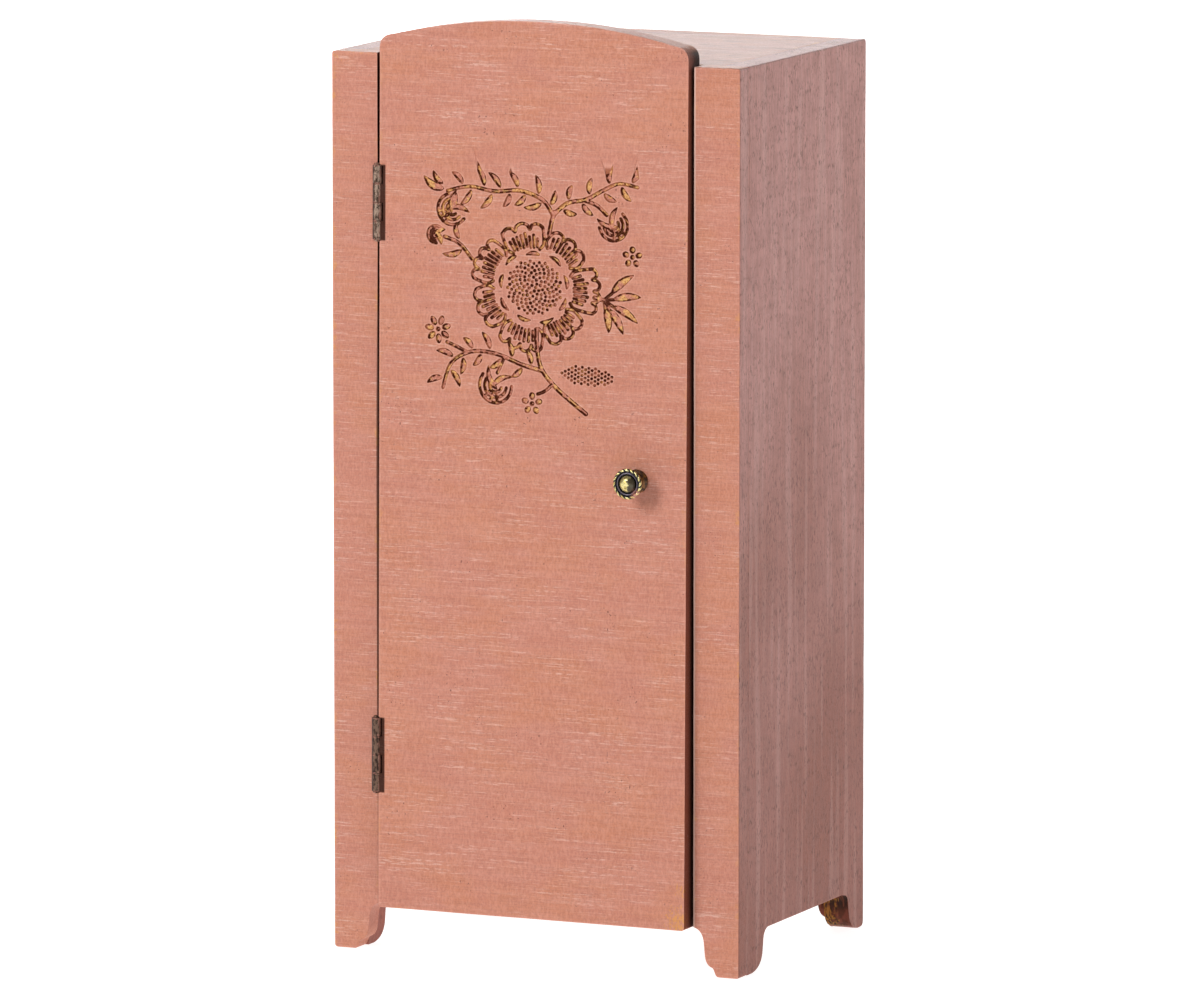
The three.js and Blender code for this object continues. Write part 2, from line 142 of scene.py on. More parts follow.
def add_surroundings(dim, white):
    """A dim world, white low down behind the object and below the horizon."""
    world = bpy.data.worlds.new("studio")
    world.use_nodes = True
    tree = world.node_tree
    tree.nodes.clear()

    def add(kind, values, **settings):
        """A node whose named or numbered sockets are linked to values or set to them."""
        node = tree.nodes.new(kind)
        for key, value in settings.items():
            setattr(node, key, value)
        for key, value in values.items():
            if isinstance(value, bpy.types.NodeSocket):
                tree.links.new(value, node.inputs[key])
            else:
                node.inputs[key].default_value = value
        return node.outputs

    def ramp(value, low, high, start, end, shape="LINEAR"):
        values = {"Value": value, "From Min": low, "From Max": high, "To Min": start, "To Max": end}
        return add("ShaderNodeMapRange", values, interpolation_type=shape)["Result"]

    direction = add("ShaderNodeTexCoord", {})["Generated"]
    split = add("ShaderNodeSeparateXYZ", {0: direction})
    low_down = ramp(split["Z"], 0.12, 0.4, 1, 0, "SMOOTHSTEP")
    behind = ramp(split["Y"], 0, 0.7, 0, 1, "SMOOTHSTEP")
    below = ramp(split["Z"], -0.001, 0, 1, 0)
    low_behind = add("ShaderNodeMath", {0: low_down, 1: behind}, operation="MULTIPLY")[0]
    bright = add("ShaderNodeMath", {0: low_behind, 1: below}, operation="MAXIMUM")[0]
    shade = add("ShaderNodeBackground", {"Strength": ramp(bright, 0, 1, dim, white)})[0]
    add("ShaderNodeOutputWorld", {"Surface": shade})
    bpy.context.scene.world = world


# ---- procedural materials ----------------------------------------------------------------------
def srgb(red, green, blue):
    """A colour given in 0-255 display values, as a linear RGBA."""
    def linear(value):
        value /= 255
        return value / 12.92 if value <= 0.04045 else ((value + 0.055) / 1.055) ** 2.4
    return (linear(red), linear(green), linear(blue), 1)


PINK = srgb(200, 129, 107)
ORANGE_PINK = srgb(202, 130, 101)
PAINT_SMEAR = srgb(200, 134, 114)
# Painted shade: near-black colour for the door's hinge pockets and hinge edge, where the gaps lie in shadow.
HINGE_GAP_SHADE = srgb(34, 12, 8)  # beside the hinges
# Painted shade: dark colour for the stiles' edges that face the door, and a painted shadow line on the left stile
# beside the door.
DOOR_GAP_SHADE = srgb(44, 19, 13)  # on the stiles' edges that face the door
PAINT_GLOSS, STAIN_AND_SHADE_GLOSS, PAINTED_SHADE_GLOSS = 0.4, 0.1, 0.05


class Finish:
    """One material, built from nodes. Places and feature sizes are in the piece's own millimetres."""

    def __init__(self, name):
        self.material = bpy.data.materials.new(name)
        self.material.use_nodes = True
        self.tree = self.material.node_tree
        self.tree.nodes.clear()
        self.shader = self.add("ShaderNodeBsdfPrincipled")
        output = self.add("ShaderNodeOutputMaterial")
        self.tree.links.new(self.shader.outputs[0], output.inputs["Surface"])
        coordinates = self.add("ShaderNodeTexCoord").outputs
        self.place = self.vector("SCALE", coordinates["Object"], scale=1 / MM)
        self.normal = coordinates["Normal"]
        self.seed = 0.0
        self.gloss = PAINT_GLOSS

    def add(self, kind, **settings):
        node = self.tree.nodes.new(kind)
        for key, value in settings.items():
            setattr(node, key, value)
        return node

    def put(self, socket, value):
        if isinstance(value, bpy.types.NodeSocket):
            self.tree.links.new(value, socket)
        else:
            socket.default_value = value

    def set(self, **values):
        """Links or sets the shader's sockets, named with underscores for their spaces."""
        for key, value in values.items():
            self.put(self.shader.inputs[key.replace("_", " ")], value)

    def vector(self, operation, a, b=None, scale=None):
        node = self.add("ShaderNodeVectorMath", operation=operation)
        self.put(node.inputs[0], a)
        if b is not None:
            self.put(node.inputs[1], b)
        if scale is not None:
            self.put(node.inputs["Scale"], scale)
        is_number = operation in ("DISTANCE", "LENGTH", "DOT_PRODUCT")
        return node.outputs["Value" if is_number else "Vector"]

    def math(self, operation, a, b=0.0):
        node = self.add("ShaderNodeMath", operation=operation)
        self.put(node.inputs[0], a)
        self.put(node.inputs[1], b)
        return node.outputs[0]

    def largest(self, first, *others):
        for other in others:
            first = self.math("MAXIMUM", first, other)
        return first

    def ramp(self, value, low, high, start=0.0, end=1.0):
        """start below low, end above high, and a smooth step between."""
        node = self.add("ShaderNodeMapRange", interpolation_type="SMOOTHSTEP")
        names = ("Value", "From Min", "From Max", "To Min", "To Max")
        for key, number in zip(names, (value, low, high, start, end)):
            self.put(node.inputs[key], number)
        return node.outputs["Result"]

    def mix(self, share, a, b):
        node = self.add("ShaderNodeMix", data_type="RGBA")
        self.put(node.inputs["Factor"], share)
        self.put(node.inputs[6], a)
        self.put(node.inputs[7], b)
        return node.outputs[2]

    def noise(self, size, detail=2.0, roughness=0.5, twist=0.0):
        """Noise whose features are size mm across, one number or one for each axis."""
        sizes = size if isinstance(size, tuple) else (size,) * 3
        self.seed += 17.3
        stretched = self.vector("DIVIDE", self.place, sizes)
        moved = self.vector("ADD", stretched, (self.seed, 0.37 * self.seed, 1.71 * self.seed))
        node = self.add("ShaderNodeTexNoise")
        self.put(node.inputs["Vector"], moved)
        node.inputs["Scale"].default_value = 1
        node.inputs["Detail"].default_value = detail
        node.inputs["Roughness"].default_value = roughness
        node.inputs["Distortion"].default_value = twist
        return node.outputs["Fac"]

    def parts(self, vector):
        node = self.add("ShaderNodeSeparateXYZ")
        self.put(node.inputs[0], vector)
        return node.outputs

    def product(self, *values):
        result = values[0]
        for value in values[1:]:
            result = self.math("MULTIPLY", result, value)
        return result

    def bump(self, height, depth):
        node = self.add("ShaderNodeBump")
        node.inputs["Distance"].default_value = depth * MM
        node.inputs["Strength"].default_value = 1.0
        self.put(node.inputs["Height"], height)
        return node.outputs[0]

    def edge_distance(self, low, high):
        """Distance from a point on a box's face to the box's nearest edge, in mm."""
        near = self.vector("MINIMUM", self.vector("SUBTRACT", self.place, low),
                           self.vector("SUBTRACT", high, self.place))
        x, y, z = self.parts(near)
        smaller, larger = self.math("MINIMUM", x, y), self.math("MAXIMUM", x, y)
        return self.math("MAXIMUM", smaller, self.math("MINIMUM", larger, z))

    def near_point(self, point, reach):
        """1 at the point, 0 beyond reach mm from it."""
        return self.ramp(self.vector("DISTANCE", self.place, point), 0, reach, 1, 0)


def paint(name, box, streak_axis, wear, wear_spots, extra):
    """Brushed matt paint over ochre undercoat; streak_axis is the direction of its brush marks. wear is
    how much its edges are rubbed, and wear_spots has (point, reach, strength) of spots rubbed more.
    extra changes the finished colour, as the engraving and raw edges do, and may be None."""
    f = Finish(name)
    along = {"x": (10, 0.8, 0.25), "z": (0.3, 0.3, 5)}[streak_axis]
    fine = {"x": (1.5, 0.4, 0.3), "z": (0.22, 0.3, 0.9)}[streak_axis]
    broad = {"x": (16, 6, 1.3), "z": (1.6, 1.6, 16)}[streak_axis]
    streaks = f.product(
        f.ramp(f.noise(along, 2, 0.6), 0.52, 0.64),
        f.ramp(f.noise(fine, 1), 0.38, 0.6),
        f.ramp(f.noise((16, 9, 7), 1), 0.34, 0.62, 0.12, 1),
    )
    furrows = f.ramp(f.noise(along, 2, 0.6), 0.36, 0.5, 1, 0)
    colour = f.mix(f.ramp(f.noise((22, 22, 12), 3, 0.6), 0.4, 0.62), PINK, ORANGE_PINK)
    colour = f.mix(f.product(furrows, 0.16), colour, srgb(150, 92, 76))
    colour = f.mix(f.ramp(f.noise(broad, 2), 0.4, 0.7, 0, 0.16), colour, srgb(226, 166, 148))
    colour = f.mix(f.product(streaks, 0.54), colour, srgb(240, 196, 180))
    grain = f.noise(0.45, 2, 0.7)
    weave = f.noise((0.4, 0.4, 1.3), 1)
    colour = f.mix(f.ramp(grain, 0.36, 0.56, 0.26, 0), colour, srgb(156, 96, 82))
    colour = f.mix(f.ramp(weave, 0.44, 0.68, 0, 0.2), colour, srgb(230, 170, 150))
    specks = f.product(f.ramp(f.noise(0.5, 0), 0.74, 0.82), f.ramp(f.noise(9, 1), 0.55, 0.68))
    colour = f.mix(f.product(specks, 0.8), colour, srgb(112, 62, 50))
    edge = f.edge_distance(*box)
    ragged = f.math("ADD", edge, f.ramp(f.noise(1.3, 3, 0.7), 0.3, 0.7, -0.8, 0.9))
    wear_and_highlight = f.product(f.ramp(ragged, 0.0, 0.6, 1, 0), f.ramp(f.noise(11, 2), 0.46, 0.68), wear)
    flakes = f.noise((0.5, 0.5, 1.2), 3, 0.75)
    for point, reach, strength in wear_spots:
        spot = f.product(f.near_point(point, reach), 0.44 * strength)
        wear_and_highlight = f.largest(wear_and_highlight, f.ramp(f.math("ADD", spot, flakes), 0.86, 0.96))
    # Painted highlight: a paler line along every edge of the piece's box.
    colour = f.mix(f.ramp(edge, 0.1, 0.6, 0.3, 0), colour, srgb(228, 158, 138))
    colour = f.mix(f.product(wear_and_highlight, 0.75), colour, srgb(220, 152, 76))
    if extra is not None:
        colour = extra(f, colour)
    f.set(Base_Color=colour, Roughness=f.ramp(grain, 0.3, 0.7, 0.62, 0.5), Specular_IOR_Level=f.gloss)
    relief = f.math("ADD", f.product(streaks, 0.8), f.product(grain, 0.45))
    relief = f.math("SUBTRACT", relief, f.product(furrows, 0.5))
    f.set(Normal=f.bump(relief, 0.035))
    return f.material


def door_colour(f, colour):
    """The door: its engraving, a right edge stained dark with painted shade that deepens towards the back, and
    painted shade in its hinge pockets.
    """
    colour, burn = engraved_colour(f, colour)
    y = f.parts(f.place)["Y"]
    front, back = DOOR_LOW.y, DOOR_HIGH.y
    # The right edge: stained dark brown, with painted shade that deepens towards the back, inside the gap beside
    # the stile.
    edge_tone = f.mix(f.ramp(y, front + 0.85, back - 1.15), srgb(94, 38, 24), srgb(30, 9, 5))
    right_edge = f.ramp(f.parts(f.normal)["X"], 0.6, 0.95)
    edge_stain_and_shade = f.product(right_edge, f.ramp(y, front + 0.25, back - 1.85, 0.68, 0.92))
    colour = f.mix(edge_stain_and_shade, colour, edge_tone)
    # Painted shade in the hinge pockets and along the hinge edge.
    painted_shade = hinge_gap_shade(f)
    f.gloss = f.ramp(f.largest(burn, right_edge, painted_shade), 0, 0.9, PAINT_GLOSS, 0.08)
    return f.mix(painted_shade, colour, HINGE_GAP_SHADE)


def hinge_gap_shade(f):
    """How much painted shade the door gets along its hinge edge, and on its front beside each hinge."""
    x, y, z = f.parts(f.place)
    not_back = f.ramp(y, DOOR_HIGH.y - 0.45, DOOR_HIGH.y - 0.15, 1, 0)
    below_arch = f.ramp(z, 98, 101, 1, 0)
    not_front = f.ramp(y, DOOR_LOW.y + 0.2, DOOR_LOW.y + 0.45)
    painted_shade = f.product(f.ramp(x, 2.6, 3.0, 1, 0), not_front, not_back, below_arch, 0.98)
    pocket_side = f.product(f.ramp(x, 2.05, 2.4, 1, 0), not_back)
    for hinge in HINGES:
        leaf = hinge + "_hinge_frame_leaf"
        half = (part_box(leaf)[1].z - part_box(leaf)[0].z) / (2 * MM)
        away = f.math("ABSOLUTE", f.math("SUBTRACT", z, middle_in_door(leaf).z))
        beside = f.ramp(away, half - 0.05, half + 0.35, 0.92, 0)
        painted_shade = f.largest(painted_shade, f.product(pocket_side, beside))
    return painted_shade


def engraved_colour(f, colour):
    """Burnt edges and ochre or pink floors where the groove attribute says how deep inside a cut we are.
    Also gives how burnt each place is."""
    groove = f.add("ShaderNodeAttribute", attribute_name="groove").outputs["Fac"]
    gold = f.mix(f.ramp(f.noise(0.5, 2), 0.4, 0.62), srgb(232, 180, 108), srgb(192, 122, 64))
    pink = f.mix(f.ramp(f.noise(0.4, 1), 0.4, 0.6), srgb(210, 138, 114), srgb(184, 110, 86))
    floor = f.mix(f.ramp(f.noise(2.4, 2, 0.6), 0.46, 0.56), pink, gold)
    # Painted highlight: a paler tone on the raised lip just outside each cut.
    lip = f.product(f.ramp(groove, -0.4, -0.2), f.ramp(groove, -0.16, -0.06, 1, 0))
    colour = f.mix(f.product(lip, 0.3), colour, srgb(234, 176, 156))
    colour = f.mix(f.ramp(groove, 0.0, 0.08, 0, 0.95), colour, floor)
    scorch = f.ramp(f.noise(0.95, 0), 0.46, 0.54)
    burnt = f.product(f.ramp(groove, -0.12, 0.0), f.ramp(groove, 0.14, 0.24, 1, 0), 0.62)
    charred = f.product(f.ramp(groove, -0.1, 0.02), f.ramp(groove, 0.28, 0.42, 1, 0), scorch, 0.96)
    colour = f.mix(burnt, colour, srgb(140, 72, 36))
    colour = f.mix(charred, colour, srgb(70, 22, 4))
    return colour, f.largest(burnt, charred)


def bare_wood(f):
    """Stained raw board at the feet's cut edges."""
    return f.mix(f.ramp(f.noise((0.5, 0.5, 2.5), 3), 0.42, 0.58), srgb(146, 98, 40), srgb(38, 23, 11))


# Dark brown board: partly stain, partly painted shade under the carcass.
def stain_and_shade(f):
    return f.mix(f.ramp(f.noise((1.6, 2, 3), 2), 0.42, 0.58), srgb(112, 58, 44), srgb(82, 42, 26))


def raw_foot_edges(f, colour):
    """The back panel's feet: bare edges, and faces darkened with stain, dark runs and painted shade under the
    carcass.
    """
    height = f.parts(f.place)["Z"]
    edge = f.ramp(f.math("ABSOLUTE", f.parts(f.normal)["Y"]), 0.3, 0.7, 1, 0)
    low = f.ramp(height, APRON_HEIGHT - 0.4, APRON_HEIGHT + 0.4, 1, 0)
    # Below the apron: stain, and painted shade under the carcass.
    colour = f.mix(f.product(low, 0.85), colour, stain_and_shade(f))
    runs = f.product(f.ramp(f.noise((0.8, 4, 6), 2), 0.5, 0.56), f.ramp(height, 2.5, 6), low)
    colour = f.mix(f.product(runs, 0.9), colour, srgb(28, 18, 10))
    f.gloss = f.ramp(low, 0, 1, PAINT_GLOSS, STAIN_AND_SHADE_GLOSS)
    return f.mix(f.product(edge, low, 0.9), colour, bare_wood(f))


def side_board(f, colour):
    """A side board's thin paint; where its apron is cut out, half bare and darkened, partly by stain and partly as
    painted shade under the carcass.
    """
    colour = side_grain(f, colour)
    x, y, z = f.parts(f.place)
    facing = f.ramp(f.math("ABSOLUTE", f.parts(f.normal)["Y"]), 0.25, 0.5)
    low = f.ramp(z, APRON_HEIGHT, APRON_HEIGHT + 1, 1, 0)
    between_ends = f.product(f.ramp(y, -24, -23), f.ramp(y, 37, 38, 1, 0))
    # The cut faces below the apron: bare wood, stain, and painted shade under the carcass.
    cut = f.product(facing, low, between_ends)
    ragged = f.math("ADD", f.math("ABSOLUTE", x), f.ramp(f.noise(1.5, 2), 0.3, 0.7, -1.5, 1.5))
    wood = f.mix(f.ramp(ragged, 45, 46.2), bare_wood(f), stain_and_shade(f))
    runs = f.product(f.ramp(f.noise((0.7, 4, 5), 2), 0.5, 0.56), f.ramp(z, 4, 6.5))
    wood = f.mix(f.product(runs, 0.9), wood, srgb(24, 15, 8))
    f.gloss = f.ramp(cut, 0, 1, PAINT_GLOSS, STAIN_AND_SHADE_GLOSS)
    return f.mix(f.product(cut, 0.95), colour, wood)


def side_grain(f, colour):
    """Thin paint on the side boards, with dark vertical pores. Its mauve-grey tint, browner low down and paler
    upwards, is partly the paint's own and partly a painted sheen.
    """
    height = f.parts(f.place)["Z"]
    # Partly a painted sheen: the tint turns paler and greyer towards the top.
    tall = f.math("ADD", height, f.ramp(f.noise((30, 30, 60), 1), 0.3, 0.7, -40, 40))
    sheen_tint = f.mix(f.ramp(tall, 0, 200), srgb(157, 91, 75), srgb(206, 149, 142))
    colour = f.mix(0.85, colour, sheen_tint)
    cloudy = f.ramp(f.noise((9, 9, 5), 3, 0.65), 0.42, 0.62)
    clusters = f.ramp(f.noise((7, 7, 3.5), 3, 0.7, 1.2), 0.4, 0.6, 0.2, 1)
    pores = f.product(f.ramp(f.noise((0.42, 0.42, 1.5), 2, 0.6), 0.53, 0.63), clusters)
    grain = f.ramp(f.noise((0.5, 0.5, 7), 2), 0.38, 0.62)
    bands = f.ramp(f.noise((3, 3, 70), 1), 0.5, 0.66)
    colour = f.mix(f.product(cloudy, 0.18), colour, srgb(136, 84, 72))
    colour = f.mix(f.product(grain, 0.3), colour, srgb(142, 92, 80))
    colour = f.mix(f.product(bands, 0.2), colour, srgb(222, 178, 170))
    return f.mix(f.product(pores, 0.72), colour, srgb(100, 54, 42))


def stile_edges(f, colour):
    """The stiles: thin side paint on their outer edges, and painted shade on the ones that face the door. The
    right one's corner gets a pale painted highlight there. The left one's gets a painted shadow line low down,
    beside the door."""
    side, _, height = f.parts(f.place)
    edge = box_mm("stile_right")[0][0]
    inward = f.math("SUBTRACT", f.math("ABSOLUTE", side), edge)
    sideways = f.ramp(f.math("ABSOLUTE", f.parts(f.normal)["X"]), 0.5, 0.85)
    outer = f.product(sideways, f.ramp(inward, 9, 10))
    colour = f.mix(outer, colour, side_grain(f, colour))
    left = f.ramp(side, -1, 1, 1, 0)
    # Painted highlight: a pale line on the right stile's corner beside the door.
    wear_and_highlight = f.product(f.ramp(inward, 0.3, 0.7, 0.7, 0), f.math("SUBTRACT", 1.0, left))
    colour = f.mix(wear_and_highlight, colour, srgb(246, 210, 194))
    # Painted shadow: a dark line on the left stile's front beside the door, wider lower down and fainter near the
    # foot.
    shadow_width = f.ramp(height, 105, 175, 0.5, 0)
    corner = f.ramp(f.math("SUBTRACT", inward, shadow_width), -0.1, 0.15, 1, 0)
    corner = f.product(corner, f.ramp(height, 30, 52, 0.25, 0.9), left)
    # Painted shade on the edges that face the door, joined with the painted shadow line.
    painted_shade = f.largest(f.product(sideways, f.ramp(inward, 0.25, 0.55, 1, 0)), corner)
    f.gloss = f.ramp(painted_shade, 0, 1, PAINT_GLOSS, PAINTED_SHADE_GLOSS)
    return f.mix(f.product(painted_shade, 0.97), colour, DOOR_GAP_SHADE)


def top_haze(f, colour):
    """The top board: broad brush marks, browner than the front's."""
    haze = f.ramp(f.noise((6, 0.4, 1), 2), 0.35, 0.65, 0.0, 0.45)
    colour = f.mix(haze, colour, srgb(184, 130, 116))
    marks = f.product(f.ramp(f.noise((7, 0.5, 1), 2, 0.6), 0.5, 0.6), f.ramp(f.noise(6, 2), 0.4, 0.6))
    return f.mix(f.product(marks, 0.5), colour, srgb(132, 84, 74))


def knob_brass(name, centre, seat):
    """Antique brass: bright rope and dome, a grey ring, black hollows, a brown cup, paint on the rim.
    seat is where the knob meets the door."""
    f = Finish(name)
    x, y, _ = f.parts(f.place)
    out = f.math("SUBTRACT", seat, y)
    offset = f.vector("SUBTRACT", f.place, tuple(centre))
    radius = f.vector("LENGTH", f.vector("MULTIPLY", offset, (1, 0, 1)))
    mottle = f.noise(0.8, 3, 0.65)
    ring = f.product(f.ramp(radius, 2.16, 2.26), f.ramp(radius, 2.5, 2.62, 1, 0), f.ramp(out, 5.1, 5.3))
    cup = f.ramp(out, 4.6, 4.95, 1, 0)
    hollow = f.ramp(f.add("ShaderNodeAttribute", attribute_name="hollow").outputs["Fac"], 0.22, 0.55)
    ragged = f.math("ADD", f.math("SUBTRACT", x, centre.x), f.ramp(mottle, 0.3, 0.7, -0.5, 0.5))
    # The dome is darker on its right side.
    dome_right_dark = f.product(f.ramp(ragged, 0.2, 0.6), f.ramp(radius, 1.95, 2.05, 1, 0), 0.92)
    specks = f.ramp(f.noise(0.3, 2, 0.6), 0.58, 0.68, 0, 0.6)
    colour = f.mix(f.ramp(mottle, 0.42, 0.62), srgb(246, 232, 164), srgb(196, 172, 100))
    colour = f.mix(f.largest(dome_right_dark, specks), colour, srgb(48, 37, 37))
    colour = f.mix(cup, colour, f.mix(f.ramp(mottle, 0.4, 0.6), srgb(134, 88, 40), srgb(62, 38, 22)))
    colour = f.mix(hollow, colour, srgb(14, 11, 11))
    colour = f.mix(ring, colour, srgb(116, 108, 122))
    rim_spot = (centre.x + 2.15, seat - 5.5, centre.z - 2.2)
    smear = f.product(f.near_point(rim_spot, 1.8), f.ramp(f.noise(0.5, 2), 0.36, 0.5))
    dull = f.ramp(f.largest(dome_right_dark, cup, hollow), 0, 1, 0.85, 0.25)
    metal = f.product(dull, f.math("SUBTRACT", 1.0, smear))
    f.set(Base_Color=f.mix(smear, colour, PAINT_SMEAR), Metallic=metal,
          Roughness=f.ramp(mottle, 0.35, 0.65, 0.3, 0.42), Normal=f.bump(f.noise(0.35, 2), 0.02))
    return f.material


def hinge_metal(name, foot, knuckle, clean, mottled):
    """Old brass; foot is the barrel's lowest height and knuckle a knuckle's length. Paint is smeared
    down the knuckles' right side, as seen from the front right, and round their ends, and painted shade
    runs down both sides as seen from there."""
    f = Finish(name)
    offset = f.vector("SUBTRACT", f.place, tuple(DOOR_FRAME.translation / MM))
    rightward = DOOR_FRAME.to_3x3() @ Vector((math.cos(AZIMUTH), math.sin(AZIMUTH), 0))
    across = f.vector("DOT_PRODUCT", offset, tuple(rightward))
    mottle = f.noise((0.7, 0.7, 1.5), 3, 0.65)
    colour = f.mix(f.ramp(mottle, 0.42, 0.6), clean, mottled)
    spots = f.ramp(f.noise((0.55, 0.55, 1.0), 2, 0.6), 0.57, 0.64, 0, 0.85)
    colour = f.mix(spots, colour, srgb(48, 36, 24))
    knuckles_up = f.math("DIVIDE", f.math("SUBTRACT", f.parts(f.place)["Z"], foot), knuckle)
    to_end = f.math("ABSOLUTE", f.math("SUBTRACT", f.math("FRACT", knuckles_up), 0.5))
    ends = f.ramp(f.math("ADD", to_end, f.ramp(f.noise(0.6, 2), 0.3, 0.7, -0.07, 0.05)), 0.42, 0.47)
    side = f.math("ADD", across, f.ramp(f.noise((0.6, 0.6, 2.2), 2), 0.3, 0.7, -0.35, 0.35))
    smear = f.product(f.largest(f.ramp(side, 0.3, 0.6), ends), 0.5)
    colour = f.mix(smear, colour, srgb(192, 128, 110))
    # Painted shade: dark bands down both edges of the knuckles as seen from the front right.
    painted_shade = f.largest(f.ramp(across, -0.92, -0.72, 1, 0), f.ramp(across, 0.98, 1.06))
    colour = f.mix(f.product(painted_shade, 0.8), colour, srgb(52, 26, 20))
    metal = f.ramp(f.largest(smear, painted_shade), 0, 0.7, 0.65, 0.1)
    f.set(Base_Color=colour, Metallic=metal, Roughness=f.ramp(mottle, 0.35, 0.65, 0.34, 0.5),
          Normal=f.bump(f.noise(0.35, 2), 0.02))
    return f.material


def steel(name, colour):
    f = Finish(name)
    brushed = f.noise((2.5, 0.15, 0.15), 3)
    f.set(Base_Color=f.mix(f.ramp(brushed, 0.35, 0.65), colour, srgb(120, 118, 114)), Metallic=1.0,
          Roughness=f.ramp(brushed, 0.35, 0.65, 0.24, 0.38), Normal=f.bump(brushed, 0.01))
    return f.material


def beech(name):
    """Bare turned dowel: fine long fibres and short dark rays."""
    f = Finish(name)
    fibres = f.noise((14, 0.35, 0.35), 3, 0.6)
    rays = f.ramp(f.noise((1.6, 0.3, 0.3), 1), 0.62, 0.7)
    colour = f.mix(f.ramp(fibres, 0.35, 0.65), srgb(214, 178, 128), srgb(188, 146, 96))
    colour = f.mix(f.product(rays, 0.5), colour, srgb(142, 98, 58))
    f.set(Base_Color=colour, Roughness=0.55, Normal=f.bump(fibres, 0.03))
    return f.material


# ---- pieces made from the CAD frame ----------------------------------------------------------
def cad_mesh(node, to_local=None):
    """The node's own shape as an editable mesh with whole flat faces."""
    bm = bmesh.new()
    bm.from_mesh(frame["nodes"][node].data)
    if to_local is not None:
        bm.transform(to_local)
    bmesh.ops.remove_doubles(bm, verts=bm.verts, dist=WELD * MM)
    bmesh.ops.dissolve_limit(
        bm, angle_limit=math.radians(0.6), verts=bm.verts, edges=bm.edges,
    )
    return bm


def sharp_edges(bm, chosen=lambda middle: True):
    """Edges that turn by more than 30 degrees and whose middle, in mm, is chosen."""
    return [
        e for e in bm.edges
        if len(e.link_faces) == 2 and e.calc_face_angle() > math.radians(30)
        and chosen((e.verts[0].co + e.verts[1].co) / (2 * MM))
    ]


def round_edges(bm, edges, width, segments=3):
    bmesh.ops.bevel(
        bm, geom=edges, offset=width * MM, offset_type="OFFSET", segments=segments, profile=0.5,
        affect="EDGES", clamp_overlap=True,
    )


def slice_up(bm, step):
    """Extra vertices on a regular lattice, so that the surface can be uneven."""
    for axis in range(3):
        values = [v.co[axis] for v in bm.verts]
        low, high = min(values), max(values)
        for i in range(1, math.ceil((high - low) / (step * MM))):
            point, normal = Vector((0, 0, 0)), Vector((0, 0, 0))
            point[axis] = low + i * step * MM
            normal[axis] = 1
            bmesh.ops.bisect_plane(
                bm, geom=bm.verts[:] + bm.edges[:] + bm.faces[:], dist=1e-6,
                plane_co=point, plane_no=normal,
            )


def wobble(bm, amount):
    """Pushes the surface about by up to amount mm, as hand sanding does."""
    for v in bm.verts:
        push = noise.noise_vector(v.co / (9 * MM)) + 0.5 * noise.noise_vector(v.co / (3.1 * MM))
        v.co += push * amount * MM


def finish_piece(name, bm, material, body, nodes=(), matrix=None):
    """Turns the editable mesh into a smooth-shaded piece that rides on its body."""
    mesh = bpy.data.meshes.new(name)
    bm.normal_update()
    bm.to_mesh(mesh)
    bm.free()
    mesh.shade_smooth()
    mesh.set_sharp_from_angle(angle=math.radians(38))
    mesh.materials.append(material)
    piece = bpy.data.objects.new(name, mesh)
    bpy.context.scene.collection.objects.link(piece)
    if matrix is not None:
        piece.matrix_world = matrix
    weighted = piece.modifiers.new("even_normals", "WEIGHTED_NORMAL")
    weighted.keep_sharp = True
    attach(piece, body)
    if nodes:
        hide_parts(*nodes)
    return piece


def refined(node, name, body, material, rounding):
    """The CAD node's shape with softened edges."""
    bm = cad_mesh(node)
    round_edges(bm, sharp_edges(bm), rounding, 2)
    return finish_piece(name, bm, material, body, [node])


# ---- the carcass ---------------------------------------------------------------------------------
WORN_SPOTS = {  # point, reach, strength
    "stile_left": [((-48.5, -31.3, 200.5), 5, 0.8), ((-39, -31.3, 197), 4, 0.6)],
    "stile_right": [((38.3, -31.3, 66), 4, 0.8), ((38.3, -31.3, 120), 3, 0.7)],
}
PANEL_INSIDE, STILE_BACK, _ = box_mm("side_panel_right")[0]
SEAM_REACH = 0.3  # an edge whose middle is this near to a joint meets another board
BOARD_WEAR, DOOR_WEAR = 0.7, 0.35


def on_stile_seam(m):
    return m.y > STILE_BACK - SEAM_REACH


def on_panel_seam(m):
    return m.y < STILE_BACK + SEAM_REACH or abs(m.x) < PANEL_INSIDE + SEAM_REACH


def on_end_seam(m):
    return abs(m.x) > PANEL_INSIDE - SEAM_REACH / 2


BOARDS = {  # the direction of the brush marks, where it meets other boards, and what else colours it
    "stile_left": ("x", on_stile_seam, stile_edges),
    "stile_right": ("x", on_stile_seam, stile_edges),
    "side_panel_left": ("z", on_panel_seam, side_board),
    "side_panel_right": ("z", on_panel_seam, side_board),
    "top_board": ("x", lambda m: True, top_haze),
    "bottom_board": ("x", on_end_seam, None),
    "shelf": ("x", on_end_seam, None),
    "back_panel": ("x", on_end_seam, raw_foot_edges),
}


def add_board(node, streak_axis, is_seam, extra):
    bm = cad_mesh(node)
    seams = set(sharp_edges(bm, is_seam))
    others = [e for e in sharp_edges(bm) if e not in seams]
    if others:
        round_edges(bm, others, CORNER_ROUNDING)
    round_edges(bm, sharp_edges(bm, is_seam), SEAM_ROUNDING, 2)
    slice_up(bm, GRID_STEP)
    wobble(bm, HAND_WOBBLE)
    for v in bm.verts:
        v.co.z = max(v.co.z, 0)
    spots = WORN_SPOTS.get(node, ())
    material = paint(node + "_paint", box_mm(node), streak_axis, BOARD_WEAR, spots, extra)
    finish_piece(node + "_board", bm, material, "carcass", [node])


